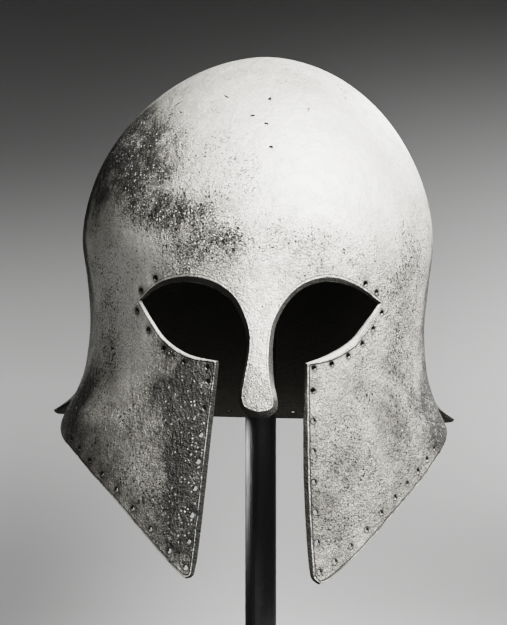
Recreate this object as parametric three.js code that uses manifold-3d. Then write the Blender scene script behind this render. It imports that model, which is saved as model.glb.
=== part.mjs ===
// Corinthian helmet beaten from one bronze sheet, carried on a plain round display stand.
// Millimetres, +Z up. The face looks along -Y, and the origin is the bottom centre of the whole.
// The shell is a closed curve in plan, given at each level by a half width and by its reach to the
// front and to the back. A place on it is (angle, level): the angle is 0 at the nose, +90 at the
// wearer's left and 180 at the nape, and the level is the height above the tips of the cheek pieces.
import * as THREE from "three";
import { mergeVertices } from "three/addons/utils/BufferGeometryUtils.js";
import Module from "manifold-3d";

const wasm = await Module();
wasm.setup();

// ---- driving sizes of the helmet
const crownLevel = 263.5; // height of the helmet over the tips of its cheek pieces
const wallAtDome = 1.8; // sheet thickness over the dome, the cheeks and the neck guard
const wallAtNose = 5.2; // sheet thickness at the nose guard, where the bronze was left thick
const nosePlace = { level: 112, angleSpread: 14, levelSpread: 42 }; // where the wall swells
const domeFoot = 150; // level where the dome's rings end and the skirt's begin
const leanDegrees = 1.3; // the helmet sits a little askew on its stand
const crownOffset = 1.3; // sideways shift of the crown from the post's axis

// ---- driving sizes of the stand
const base = { radius: 85, height: 14, edgeRound: 2, segments: 48 };
const post = { radius: 8, segments: 32 };
const tipClearance = 60; // from the base's top up to the lower cheek tip
const rest = { radius: 30, domeRise: 8.5, rim: 4, neck: 20 };
const restClearance = 0.75; // from the rest's top up to the inside of the crown
const fitGap = 0.3; // left between pieces that touch

// Each profile is a quarter oval from the crown down to its widest level, then a smooth curve
// through the rows below.
const sideProfiles = {
  right: {
    roundness: 1.86,
    rows: [
      { level: 168, reach: 91 },
      { level: 146, reach: 87.9 },
      { level: 125, reach: 86.1 },
      { level: 107, reach: 87.4 },
      { level: 99, reach: 88.9 },
      { level: 91, reach: 91.7 },
      { level: 83, reach: 95.4 },
      { level: 77, reach: 98.6 },
      { level: 72, reach: 100.1 },
      { level: 60, reach: 101.3 },
      { level: 0, reach: 102 },
    ],
  },
  left: {
    roundness: 1.9,
    rows: [
      { level: 168, reach: 89.6 },
      { level: 146, reach: 87.7 },
      { level: 125, reach: 86.2 },
      { level: 107, reach: 87.5 },
      { level: 99, reach: 88.9 },
      { level: 91, reach: 91.5 },
      { level: 83, reach: 95 },
      { level: 77, reach: 98 },
      { level: 72, reach: 99.7 },
      { level: 60, reach: 101.3 },
      { level: 0, reach: 102 },
    ],
  },
};
const frontProfile = {
  roundness: 2,
  rows: [
    { level: 152, reach: 108 },
    { level: 130, reach: 110.5 },
    { level: 105, reach: 114 },
    { level: 80, reach: 117 },
    { level: 40, reach: 118.5 },
    { level: 0, reach: 116.5 },
  ],
};
const backProfile = {
  roundness: 2,
  rows: [
    { level: 178, reach: 113 },
    { level: 150, reach: 109.5 },
    { level: 128, reach: 102 },
    { level: 112, reach: 98 },
    { level: 98, reach: 98.5 },
    { level: 86, reach: 103.5 },
    { level: 74, reach: 111 },
  ],
};
// The crown lies a little towards the wearer's left.
const crownShift = { startLevel: 205, amount: 2.4, roundness: 1.5 };
// How far the plan narrows between the temples and the nose, from none at the brow down.
const prow = { startLevel: 165, fullLevel: 95, amount: 0.24 };
// The neck guard turns out in a lip behind the notch at each side.
const lip = { startLevel: 93, depth: 14, reach: 7.6, startAngle: 89, fullAngle: 97 };

// Lower edge, as levels on the wearer's right and left: the cheek pieces, then the neck guard.
const cheekEdgeRows = [
  { angle: 0, right: -9, left: -9 },
  { angle: 13, right: -5, left: -5 },
  { angle: 19.5, right: 1.2, left: 1.6 },
  { angle: 26, right: 11, left: 10.3 },
  { angle: 33, right: 22.3, left: 20.8 },
  { angle: 43, right: 37.2, left: 35.8 },
  { angle: 55, right: 50.4, left: 50.4 },
  { angle: 66, right: 60, left: 61.6 },
  { angle: 78, right: 66, left: 70 },
  { angle: 86, right: 70.4, left: 75 },
];
const neckEdgeRows = [
  { angle: 97, right: 79, left: 78.8 },
  { angle: 110, right: 77.6, left: 77.4 },
  { angle: 140, right: 76.2, left: 76.2 },
  { angle: 180, right: 75.6, left: 75.6 },
];
const notch = { angle: 92, level: 86 }; // between them, over each shoulder

// Outline of the face opening, as half widths from the middle plane, levels, and how far the cut
// edge slopes in under its outer corner.
const noseTip = { x: -1.2, level: 83.9, bevel: 3.2 };
const noseRows = [
  { rightX: 5.4, rightZ: 84.8, rightBevel: 3, leftX: 3.6, leftZ: 84.6, leftBevel: 3.2 },
  { rightX: 8.3, rightZ: 87, rightBevel: 2.4, leftX: 5.9, leftZ: 86.6, leftBevel: 3.2 },
  { rightX: 9.3, rightZ: 90.6, rightBevel: 2.1, leftX: 6, leftZ: 90.2, leftBevel: 3.2 },
  { rightX: 8.4, rightZ: 98.5, rightBevel: 2.1, leftX: 4.4, leftZ: 97, leftBevel: 3.2 },
  { rightX: 6.6, rightZ: 109, rightBevel: 2.1, leftX: 3.3, leftZ: 108, leftBevel: 3.2 },
  { rightX: 5.9, rightZ: 119, rightBevel: 2.2, leftX: 3.7, leftZ: 119, leftBevel: 2.8 },
];
const upperRimRows = [
  { rightX: 7.7, rightZ: 127.5, rightBevel: 2.5, leftX: 5.5, leftZ: 128, leftBevel: 2.6 },
  { rightX: 14.3, rightZ: 139.8, rightBevel: 3, leftX: 12.4, leftZ: 140, leftBevel: 2.4 },
  { rightX: 25.5, rightZ: 146.9, rightBevel: 3.3, leftX: 21.6, leftZ: 147.2, leftBevel: 2.4 },
  { rightX: 38, rightZ: 148.6, rightBevel: 3, leftX: 34, leftZ: 149.8, leftBevel: 2.4 },
  { rightX: 51, rightZ: 145.2, rightBevel: 2, leftX: 48, leftZ: 145.6, leftBevel: 1.4 },
  { rightX: 60.6, rightZ: 136.4, rightBevel: 0.4, leftX: 59.8, leftZ: 137.6, leftBevel: 0.4 },
];
const lowerRimRows = [
  { rightX: 60.6, rightZ: 136.4, rightBevel: 0.4, leftX: 59.8, leftZ: 137.6, leftBevel: 0.4 },
  { rightX: 55.4, rightZ: 127.5, rightBevel: 0.4, leftX: 55, leftZ: 128.2, leftBevel: 2.4 },
  { rightX: 47.6, rightZ: 117.2, rightBevel: 0.6, leftX: 46.6, leftZ: 117.4, leftBevel: 2.9 },
  { rightX: 36.2, rightZ: 109.9, rightBevel: 1, leftX: 35, leftZ: 110.4, leftBevel: 2.4 },
  { rightX: 22, rightZ: 107.6, rightBevel: 0.4, leftX: 22.6, leftZ: 107.6, leftBevel: 0.4 },
];
const innerEdgeRows = [
  { rightX: 22, rightZ: 107.6, rightBevel: 0.4, leftX: 22.6, leftZ: 107.6, leftBevel: 0.4 },
  { rightX: 24.8, rightZ: 81, rightBevel: 1.4, leftX: 23.2, leftZ: 80, leftBevel: 1.5 },
  { rightX: 27.4, rightZ: 52, rightBevel: 1.8, leftX: 24.2, leftZ: 51, leftBevel: 2 },
  { rightX: 31.6, rightZ: 8, rightBevel: 1.6, leftX: 27.4, leftZ: 9, leftBevel: 1.5 },
  { rightX: 32.4, rightZ: 3.6, rightBevel: 1, leftX: 28.4, leftZ: 3.4, leftBevel: 1 },
  { rightX: 34.8, rightZ: 2.2, rightBevel: 0.6, leftX: 31.2, leftZ: 0.9, leftBevel: 0.6 },
  { rightX: 38.6, rightZ: 3.8, rightBevel: 0, leftX: 35.8, leftZ: 2.4, leftBevel: 0 },
];

// Lining holes. Around the opening a row runs over a share of its edge, and on the lower edges
// over a span of angles. The inset is from the edge to the hole's centre.
const liningHole = { radius: 1.15, sides: 6 };
const openingHoleRows = [
  { edge: "upperRim", side: "right", count: 2, from: 0.81, to: 0.94, inset: 2.6 },
  { edge: "upperRim", side: "left", count: 2, from: 0.82, to: 0.92, inset: 2.8 },
  { edge: "lowerRim", side: "right", count: 5, from: 0.08, to: 0.92, inset: 3.4 },
  { edge: "lowerRim", side: "left", count: 6, from: 0.08, to: 0.94, inset: 1.9 },
  { edge: "innerEdge", side: "right", count: 8, from: 0.095, to: 0.97, inset: 3 },
  { edge: "innerEdge", side: "left", count: 7, from: 0.125, to: 0.975, inset: 2.9 },
];
const lowerHoleRows = [
  { side: "right", count: 8, fromAngle: 26.5, toAngle: 69, inset: 4.1 },
  { side: "left", count: 9, fromAngle: 24, toAngle: 65, inset: 5.2 },
  { side: "right", count: 13, fromAngle: 101, toAngle: 180, inset: 3.4 },
  { side: "left", count: 12, fromAngle: 101, toAngle: 173.5, inset: 3.4 },
];

const clamp01 = (value) => Math.min(1, Math.max(0, value));
const smoothStep = (value) => clamp01(value) ** 2 * (3 - 2 * clamp01(value));
const radians = THREE.MathUtils.degToRad;
const sideName = (side) => (side < 0 ? "right" : "left");
const sideSign = { right: -1, left: 1 };

// Smooth curve through a table's rows, which run evenly up or down in the column named by across.
// It is level at the first row when levelStart is set, and runs straight on past the last one.
function throughRows(rows, across, along, at, levelStart = false) {
  const last = rows.length - 1;
  const rise = (from, to) => (rows[to][along] - rows[from][along]) / (rows[to][across] - rows[from][across]);
  const slope = (i) => (i === 0 && levelStart ? 0 : rise(Math.max(0, i - 1), Math.min(last, i + 1)));
  const down = Math.sign(rows[last][across] - rows[0][across]);
  const past = at - rows[last][across];
  if (past * down >= 0) return rows[last][along] + past * slope(last);
  const i = rows.findLastIndex((row) => (at - row[across]) * down >= 0);
  const span = rows[i + 1][across] - rows[i][across];
  const t = (at - rows[i][across]) / span;
  return (
    (2 * t ** 3 - 3 * t ** 2 + 1) * rows[i][along] +
    (t ** 3 - 2 * t ** 2 + t) * span * slope(i) +
    (3 * t ** 2 - 2 * t ** 3) * rows[i + 1][along] +
    (t ** 3 - t ** 2) * span * slope(i + 1)
  );
}

function profileReach({ roundness, rows }, level) {
  const widest = rows[0];
  if (level < widest.level) return throughRows(rows, "level", "reach", level, true);
  const share = clamp01((level - widest.level) / (crownLevel - widest.level));
  return widest.reach * (1 - share ** roundness) ** (1 / roundness);
}

function sideReach(side, level) {
  return profileReach(sideProfiles[sideName(side)], level);
}

// Point of the outer face. The angle runs from -180 to 180 degrees.
function outerPoint(angle, level) {
  const turn = radians(angle);
  const inFront = Math.cos(turn) > 0;
  const narrowing = prow.amount * smoothStep((prow.startLevel - level) / (prow.startLevel - prow.fullLevel));
  const reach = inFront
    ? profileReach(frontProfile, level) * (1 - narrowing * Math.sin(turn) ** 2)
    : profileReach(backProfile, level);
  const share = smoothStep((Math.abs(angle) - lip.startAngle) / (lip.fullAngle - lip.startAngle));
  const drop = Math.max(0, lip.startLevel - level) / lip.depth;
  const turnedOut = share * lip.reach * drop ** 2;
  const climb = clamp01((level - crownShift.startLevel) / (crownLevel - crownShift.startLevel));
  const shift = crownShift.amount * climb ** crownShift.roundness;
  return new THREE.Vector3(
    shift + (sideReach(Math.sin(turn), level) + turnedOut) * Math.sin(turn),
    -(reach + turnedOut) * Math.cos(turn),
    level,
  );
}

const probe = { angle: 0.2, level: 0.2 };
function outerNormal(angle, level) {
  if (level > crownLevel - probe.level) return new THREE.Vector3(0, 0, 1);
  const along = outerPoint(angle + probe.angle, level).sub(outerPoint(angle - probe.angle, level));
  const up = outerPoint(angle, level + probe.level).sub(outerPoint(angle, level - probe.level));
  return along.cross(up).normalize();
}

function wallThickness(angle, level) {
  const sideways = angle / nosePlace.angleSpread;
  const upwards = (level - nosePlace.level) / nosePlace.levelSpread;
  const away = sideways ** 2 + upwards ** 2;
  return wallAtDome + (wallAtNose - wallAtDome) * Math.exp(-away);
}

// The angle at which the shell is a given distance from the middle plane.
function angleAt(x, level) {
  return THREE.MathUtils.radToDeg(Math.asin(x / sideReach(x, level)));
}

function lowerLevel(angle) {
  const side = sideName(angle);
  const at = Math.abs(angle);
  const cheekCorner = cheekEdgeRows.at(-1);
  const neckCorner = neckEdgeRows[0];
  if (at <= cheekCorner.angle) return throughRows(cheekEdgeRows, "angle", side, at);
  if (at >= neckCorner.angle) return throughRows(neckEdgeRows, "angle", side, at);
  const corner = at < notch.angle ? cheekCorner : neckCorner;
  return THREE.MathUtils.mapLinear(at, corner.angle, notch.angle, corner[side], notch.level);
}

function solidFrom(geometry) {
  const bare = geometry.clone();
  bare.deleteAttribute("normal");
  bare.deleteAttribute("uv");
  const merged = mergeVertices(bare, 1e-4);
  return new wasm.Manifold(
    new wasm.Mesh({
      numProp: 3,
      vertProperties: new Float32Array(merged.getAttribute("position").array),
      triVerts: new Uint32Array(merged.index.array),
    }),
  );
}

function geometryFrom(solid) {
  const mesh = solid.getMesh();
  const geometry = new THREE.BufferGeometry();
  geometry.setAttribute("position", new THREE.BufferAttribute(mesh.vertProperties, 3));
  geometry.setIndex(new THREE.BufferAttribute(mesh.triVerts, 1));
  geometry.computeVertexNormals();
  return geometry;
}

function indexedGeometry(points, triangles) {
  const geometry = new THREE.BufferGeometry().setFromPoints(points);
  geometry.setIndex(triangles);
  return geometry;
}

// Whole shell down to its lower edge, before the face is opened.
function blankShell() {
  const columnStep = 6;
  const domeRings = 10;
  const skirtRings = 11;
  const notchAngles = [cheekEdgeRows.at(-1).angle, 89, notch.angle, 94.5, neckEdgeRows[0].angle];
  const halfAngles = [];
  for (let angle = columnStep; angle < 180; angle += columnStep) {
    const pastCheek = angle > notchAngles[0] - columnStep / 2;
    const besideNotch = pastCheek && angle < notchAngles.at(-1) + columnStep / 2;
    if (!besideNotch) halfAngles.push(angle);
  }
  halfAngles.push(...notchAngles);
  halfAngles.sort((a, b) => a - b);
  const angles = [0, ...halfAngles, 180, ...halfAngles.map((angle) => -angle).reverse()];
  const ringLevel = (ring, angle) => {
    if (ring <= domeRings) {
      return domeFoot + (crownLevel - domeFoot) * Math.cos(radians((90 * ring) / domeRings));
    }
    const share = (ring - domeRings) / skirtRings;
    return THREE.MathUtils.lerp(domeFoot, lowerLevel(angle), share);
  };

  const points = [];
  const rings = domeRings + skirtRings;
  const place = (angle, level, inward) => {
    const offset = outerNormal(angle, level).multiplyScalar(-inward * wallThickness(angle, level));
    return outerPoint(angle, level).add(offset);
  };
  for (const inward of [0, 1]) {
    points.push(place(0, crownLevel, inward));
    for (let ring = 1; ring <= rings; ring++) {
      for (const angle of angles) points.push(place(angle, ringLevel(ring, angle), inward));
    }
  }
  const columns = angles.length;
  const inner = 1 + rings * columns;
  const vertex = (ring, column) => 1 + (ring - 1) * columns + (column % columns);
  const triangles = [];
  const add = (a, b, c) => {
    triangles.push(a, b, c);
    triangles.push(inner + a, inner + c, inner + b);
  };
  for (let column = 0; column < columns; column++) {
    add(0, vertex(1, column), vertex(1, column + 1));
    for (let ring = 1; ring < rings; ring++) {
      add(vertex(ring, column), vertex(ring + 1, column), vertex(ring + 1, column + 1));
      add(vertex(ring, column), vertex(ring + 1, column + 1), vertex(ring, column + 1));
    }
    const [a, b] = [vertex(rings, column), vertex(rings, column + 1)];
    triangles.push(a, inner + a, inner + b, a, inner + b, b);
  }
  return solidFrom(indexedGeometry(points, triangles));
}

// Smooth run of places through a table's rows on one side of the face.
function edgeRun(rows, side, perSpan) {
  const name = sideName(side);
  const nodes = rows.map(
    (row) => new THREE.Vector3(side * row[`${name}X`], row[`${name}Z`], row[`${name}Bevel`]),
  );
  const curve = new THREE.CatmullRomCurve3(nodes, false, "centripetal");
  return curve.getPoints((rows.length - 1) * perSpan).map((p) => ({ x: p.x, level: p.y, bevel: p.z }));
}

// One side of the face opening, from under the nose guard to below the cheek tip.
function openingSide(side) {
  const perSpan = 3;
  return [
    ...edgeRun([...noseRows, ...upperRimRows], side, perSpan),
    ...edgeRun(lowerRimRows, side, perSpan).slice(1),
    ...edgeRun(innerEdgeRows, side, perSpan).slice(1),
  ];
}

// Closed tool that removes the face opening: four rings that follow the outline, from inside the
// helmet out past its face, with the cut edge's slope between the middle two.
function faceOpeningTool() {
  const below = -25;
  const right = openingSide(-1);
  const left = openingSide(1);
  const rightFoot = { x: right.at(-1).x + 4, level: below, bevel: 0 };
  const leftFoot = { x: left.at(-1).x - 4, level: below, bevel: 0 };
  const outline = [noseTip, ...right, rightFoot, leftFoot, ...left.reverse()];
  const places = outline.map((p) => {
    const angle = angleAt(p.x, p.level);
    const wall = wallThickness(angle, p.level);
    return { ...p, angle, wall, point: outerPoint(angle, p.level), normal: outerNormal(angle, p.level) };
  });
  const count = places.length;
  const inward = places.map((place, i) => {
    const before = places[(i + count - 1) % count].point;
    const after = places[(i + 1) % count].point;
    const arriving = place.point.clone().sub(before).normalize();
    const leaving = after.clone().sub(place.point).normalize();
    const first = place.normal.clone().cross(arriving);
    const second = place.normal.clone().cross(leaving);
    const bisector = first.clone().add(second).normalize();
    const mitre = Math.max(0.5, bisector.dot(first));
    return bisector.multiplyScalar(place.bevel / mitre);
  });
  const insideReach = 16;
  const outsideReach = 45;
  const past = 0.25; // share of the wall by which the slope runs on past either face
  const along = (place, distance) => place.normal.clone().multiplyScalar(distance);
  const ringsOfPoints = [
    (place, shift) => along(place, -insideReach).addScaledVector(shift, 1 + past),
    (place, shift) => along(place, -place.wall * (1 + past)).addScaledVector(shift, 1 + past),
    (place, shift) => along(place, place.wall * past).addScaledVector(shift, -past),
    (place) => along(place, outsideReach),
  ];
  const points = ringsOfPoints.flatMap((offset) =>
    places.map((place, i) => place.point.clone().add(offset(place, inward[i]))),
  );
  const flat = places.map((place) => new THREE.Vector2(place.angle, place.level));
  const caps = THREE.ShapeUtils.triangulateShape(flat, []);
  const lastRing = (ringsOfPoints.length - 1) * count;
  const triangles = [];
  for (const [a, b, c] of caps) {
    triangles.push(a, c, b);
    triangles.push(lastRing + a, lastRing + b, lastRing + c);
  }
  for (let ring = 0; ring < lastRing; ring += count) {
    for (let i = 0; i < count; i++) {
      const next = (i + 1) % count;
      triangles.push(ring + i, ring + next, ring + count + next);
      triangles.push(ring + i, ring + count + next, ring + count + i);
    }
  }
  return solidFrom(indexedGeometry(points, triangles));
}

// Round drill through the wall, square to it.
function drillAt(angle, level) {
  const length = 14;
  const drill = new THREE.CylinderGeometry(liningHole.radius, liningHole.radius, length, liningHole.sides);
  const up = new THREE.Vector3(0, 1, 0);
  const turn = new THREE.Quaternion().setFromUnitVectors(up, outerNormal(angle, level));
  drill.applyQuaternion(turn);
  drill.translate(...outerPoint(angle, level));
  return solidFrom(drill);
}

// Places evenly shared out beside a row's edge of the face opening.
function holesByOpening({ edge, side, count, from, to, inset }) {
  const sign = sideSign[side];
  const rows = { upperRim: upperRimRows, lowerRim: lowerRimRows, innerEdge: innerEdgeRows.slice(0, 5) }[edge];
  const run = edgeRun(rows, sign, 4).map((p) => new THREE.Vector3(p.x, p.level, 0));
  const curve = new THREE.CatmullRomCurve3(run, false, "centripetal");
  return Array.from({ length: count }, (_, i) => {
    const share = THREE.MathUtils.lerp(from, to, i / (count - 1));
    const at = curve.getPointAt(share);
    const along = curve.getTangentAt(share);
    const level = at.y + along.x * inset * sign;
    return { angle: angleAt(at.x - along.y * inset * sign, level), level };
  });
}

function holesByLowerEdge({ side, count, fromAngle, toAngle, inset }) {
  const sign = sideSign[side];
  const unrolled = radians(98); // length of the wall to each degree, near enough all round
  return Array.from({ length: count }, (_, i) => {
    const angle = sign * THREE.MathUtils.lerp(fromAngle, toAngle, i / (count - 1));
    const rise = Math.atan2(lowerLevel(angle + 1) - lowerLevel(angle - 1), 2 * unrolled);
    return {
      angle: angle - (inset * Math.sin(rise)) / unrolled,
      level: lowerLevel(angle) + inset * Math.cos(rise),
    };
  });
}

function helmetShell() {
  let shell = blankShell().subtract(faceOpeningTool());
  const places = [...openingHoleRows.flatMap(holesByOpening), ...lowerHoleRows.flatMap(holesByLowerEdge)];
  const drills = places.map(({ angle, level }) => drillAt(angle, level));
  shell = shell.subtract(wasm.Manifold.union(drills));
  return geometryFrom(shell);
}

// ---- the stand, turned about the post's axis
function turned(profile, segments) {
  const points = profile.map(([radius, z]) => new THREE.Vector2(radius, z));
  return new THREE.LatheGeometry(points, segments).rotateX(Math.PI / 2);
}

function standBase() {
  const { radius, height, edgeRound } = base;
  const rim = [[radius, 0], [radius, height - edgeRound], [radius - edgeRound, height]];
  return turned([[0, 0], ...rim, [0, height]], base.segments);
}

const helmetFoot = base.height + tipClearance; // level 0 of the helmet over the floor
const restTop = crownLevel - wallAtDome - restClearance; // measured in the helmet's own levels
const restFoot = restTop - rest.domeRise - rest.rim - rest.neck;

function headRest() {
  const rimTop = restTop - rest.domeRise;
  const domeSteps = 5;
  const domeRadius = (rest.radius ** 2 + rest.domeRise ** 2) / (2 * rest.domeRise);
  const profile = [[0, restFoot], [post.radius, restFoot]];
  profile.push([rest.radius, rimTop - rest.rim], [rest.radius, rimTop]);
  for (let step = 1; step < domeSteps; step++) {
    const radius = rest.radius * (1 - step / domeSteps);
    profile.push([radius, restTop - domeRadius + Math.sqrt(domeRadius ** 2 - radius ** 2)]);
  }
  profile.push([0, restTop]);
  return turned(profile, post.segments);
}

function standPost() {
  const bottom = base.height + fitGap;
  const top = helmetFoot + restFoot - fitGap;
  return turned([[0, bottom], [post.radius, bottom], [post.radius, top], [0, top]], post.segments);
}

// ---- finishes and assembly
const bronze = new THREE.MeshStandardMaterial({ color: 0xa9a69c, roughness: 0.55, metalness: 0.45 });
const blackPaint = new THREE.MeshStandardMaterial({ color: 0x17171a, roughness: 0.35, metalness: 0.3 });

function named(name, geometry, material) {
  const mesh = new THREE.Mesh(geometry, material);
  mesh.name = name;
  return mesh;
}

// The helmet leans about the point of its crown that sits on the rest.
const helmet = new THREE.Group();
const shell = named("helmet_shell", helmetShell(), bronze);
shell.position.z = -crownLevel;
helmet.add(shell);
helmet.position.set(crownOffset, 0, helmetFoot + crownLevel);
helmet.rotation.y = radians(leanDegrees);

const headRestMesh = named("stand_head_rest", headRest(), blackPaint);
headRestMesh.position.z = helmetFoot;

const helmetOnStand = new THREE.Group();
helmetOnStand.add(helmet);
helmetOnStand.add(headRestMesh);
helmetOnStand.add(named("stand_post", standPost(), blackPaint));
helmetOnStand.add(named("stand_base", standBase(), blackPaint));

// The post stands a little off the middle, because the helmet is longer behind than in front.
const middle = new THREE.Box3().setFromObject(helmetOnStand, true).getCenter(new THREE.Vector3());
helmetOnStand.position.set(-middle.x, -middle.y, 0);

export default helmetOnStand;
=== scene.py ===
# A Corinthian helmet of old bronze on a plain post stand, in soft studio light.
# The helmet's sheet is modelled here in fine detail; the stand keeps its meshes and is painted.
import math

import bpy
import bmesh
import numpy as np
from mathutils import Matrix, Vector, geometry, kdtree, noise


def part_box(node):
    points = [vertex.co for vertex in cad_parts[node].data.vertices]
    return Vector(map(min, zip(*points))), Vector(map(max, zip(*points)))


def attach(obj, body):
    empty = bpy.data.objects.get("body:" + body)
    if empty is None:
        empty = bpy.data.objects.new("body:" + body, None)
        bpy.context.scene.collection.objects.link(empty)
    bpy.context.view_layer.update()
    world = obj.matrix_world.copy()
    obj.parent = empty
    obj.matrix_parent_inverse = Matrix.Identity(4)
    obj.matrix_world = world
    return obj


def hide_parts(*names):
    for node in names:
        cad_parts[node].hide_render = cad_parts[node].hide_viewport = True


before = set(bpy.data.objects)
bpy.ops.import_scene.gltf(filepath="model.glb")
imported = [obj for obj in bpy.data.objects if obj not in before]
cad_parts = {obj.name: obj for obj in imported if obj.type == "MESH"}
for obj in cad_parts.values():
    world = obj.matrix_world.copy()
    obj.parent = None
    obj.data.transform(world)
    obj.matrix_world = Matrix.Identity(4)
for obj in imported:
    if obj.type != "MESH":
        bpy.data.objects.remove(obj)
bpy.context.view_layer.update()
mm = 0.001

# Where the stand is; the helmet is placed from it.
postLow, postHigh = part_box("stand_post")
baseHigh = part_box("stand_base")[1]
postX = (postLow.x + postHigh.x) / 2
postY = (postLow.y + postHigh.y) / 2

helmetPlace = {
    "crownLevel": 263.5,  # mm over the tips of the cheek pieces
    "tipClearance": 60,  # mm from the base's top to the lower tip
    "crownOffset": 1.3,  # mm sideways of the post's axis
    "leanDegrees": 1.3,
}
crownHeight = baseHigh.z / mm + helmetPlace["tipClearance"] + helmetPlace["crownLevel"]


# The camera is level with the eye openings.
cameraSettings = {
    "distance": 1.8,
    "levelAbove": 0.1316,  # over the cheek tips
    "turnDegrees": -1.2,  # a little round to the wearer's right
    "lens": 201.0,
    "aimOffset": -0.00206,
    "helmetAxisOffset": -0.00165,
    "sensor": 36,
    "shift": 0.0008,
}


def addObject(name, data):
    item = bpy.data.objects.new(name, data)
    bpy.context.scene.collection.objects.link(item)
    return item


def addCamera(settings):
    data = bpy.data.cameras.new("studioCamera")
    data.sensor_width = settings["sensor"]
    data.lens = settings["lens"]
    data.shift_y = settings["shift"]
    data.clip_end = 20
    camera = addObject("studioCamera", data)
    turn = math.radians(settings["turnDegrees"])
    across = Vector((math.cos(turn), math.sin(turn), 0))
    ahead = Vector((-math.sin(turn), math.cos(turn), 0))
    level = baseHigh.z + helmetPlace["tipClearance"] * mm + settings["levelAbove"]
    aim = Vector((postX + settings["helmetAxisOffset"], postY, level)) + across * settings["aimOffset"]
    camera.location = aim - ahead * settings["distance"]
    camera.rotation_euler = (math.radians(90), 0, turn)
    bpy.context.scene.camera = camera


addCamera(cameraSettings)
print("camera placed")


# A table: the names of its columns, then its rows.
def namedRows(columns, *rows):
    return [dict(zip(columns.split(), row)) for row in rows]


# The helmet's form in mm: angle 0 at the nose, + towards the wearer's left, level over the cheek tips.
helmetForm = {
    "side": {
        "right": {"roundness": 1.86, "rows": namedRows(
            "level reach",
            (168, 91), (146, 87.9), (125, 86.1), (107, 87.4), (99, 88.9), (91, 91.7), (83, 95.4),
            (77, 98.6), (72, 100.1), (60, 101.3), (0, 102))},
        "left": {"roundness": 1.9, "rows": namedRows(
            "level reach",
            (168, 89.6), (146, 87.7), (125, 86.2), (107, 87.5), (99, 88.9), (91, 91.5), (83, 95),
            (77, 98), (72, 99.7), (60, 101.3), (0, 102))},
    },
    "front": {"roundness": 2, "rows": namedRows(
        "level reach",
        (152, 108), (130, 110.5), (105, 114), (80, 117), (40, 118.5), (0, 116.5))},
    "back": {"roundness": 2, "rows": namedRows(
        "level reach",
        (178, 113), (150, 109.5), (128, 102), (112, 98), (98, 98.5), (86, 103.5), (74, 111))},
    "crownShift": {"startLevel": 205, "amount": 2.4, "roundness": 1.5},
    "prow": {"startLevel": 165, "fullLevel": 95, "amount": 0.24},
    "lip": {"startLevel": 93, "depth": 14, "reach": 7.6, "startAngle": 89, "fullAngle": 97},
    "wall": {"dome": 1.8, "nose": 5.2, "noseLevel": 112, "noseAngleSpread": 14, "noseLevelSpread": 42},
}

# Edges of the sheet. The bevel is how far a cut edge slopes in under its outer corner.
edgeColumns = "rightX rightZ rightBevel leftX leftZ leftBevel"
helmetEdges = {
    "cheek": namedRows(
        "angle right left",
        (0, -9, -9), (13, -5, -5), (19.5, 1.2, 1.6), (26, 11, 10.3), (33, 22.3, 20.8), (43, 37.2, 35.8),
        (55, 50.4, 50.4), (66, 60, 61.6), (78, 66, 70), (86, 70.4, 75)),
    "neck": namedRows(
        "angle right left",
        (97, 79, 78.8), (110, 77.6, 77.4), (140, 76.2, 76.2), (180, 75.6, 75.6)),
    "notch": {"angle": 92, "level": 86},
    "tipEnd": {"right": 21.5, "left": 20.3},  # angle where the lower edge leaves the rounded tip
    "noseTip": {"x": -1.2, "z": 83.9, "bevel": 3.2},
    "nose": namedRows(
        edgeColumns,
        (5.4, 84.8, 3, 3.6, 84.6, 3.2), (8.3, 87, 2.4, 5.9, 86.6, 3.2),
        (9.3, 90.6, 2.1, 6, 90.2, 3.2), (8.4, 98.5, 2.1, 4.4, 97, 3.2),
        (6.6, 109, 2.1, 3.3, 108, 3.2), (5.9, 119, 2.2, 3.7, 119, 2.8)),
    "upperRim": namedRows(
        edgeColumns,
        (7.7, 127.5, 2.5, 5.5, 128, 2.6), (14.3, 139.8, 3, 12.4, 140, 2.4),
        (25.5, 146.9, 3.3, 21.6, 147.2, 2.4), (38, 148.6, 3, 34, 149.8, 2.4),
        (51, 145.2, 2, 48, 145.6, 1.4), (60.6, 136.4, 0.4, 59.8, 137.6, 0.4)),
    "lowerRim": namedRows(
        edgeColumns,
        (60.6, 136.4, 0.4, 59.8, 137.6, 0.4),
        (55.4, 127.5, 0.4, 55, 128.2, 2.4),
        (47.6, 117.2, 0.6, 46.6, 117.4, 2.9), (36.2, 109.9, 1, 35, 110.4, 2.4),
        (22, 107.6, 0.4, 22.6, 107.6, 0.4)),
    "innerEdge": namedRows(
        edgeColumns,
        (22, 107.6, 0.4, 22.6, 107.6, 0.4), (24.8, 81, 1.4, 23.2, 80, 1.5),
        (27.4, 52, 1.8, 24.2, 51, 2), (31.6, 8, 1.6, 27.4, 9, 1.5),
        (32.4, 3.6, 1, 28.4, 3.4, 1), (34.8, 2.2, 0.6, 31.2, 0.9, 0.6)),
}

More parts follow.
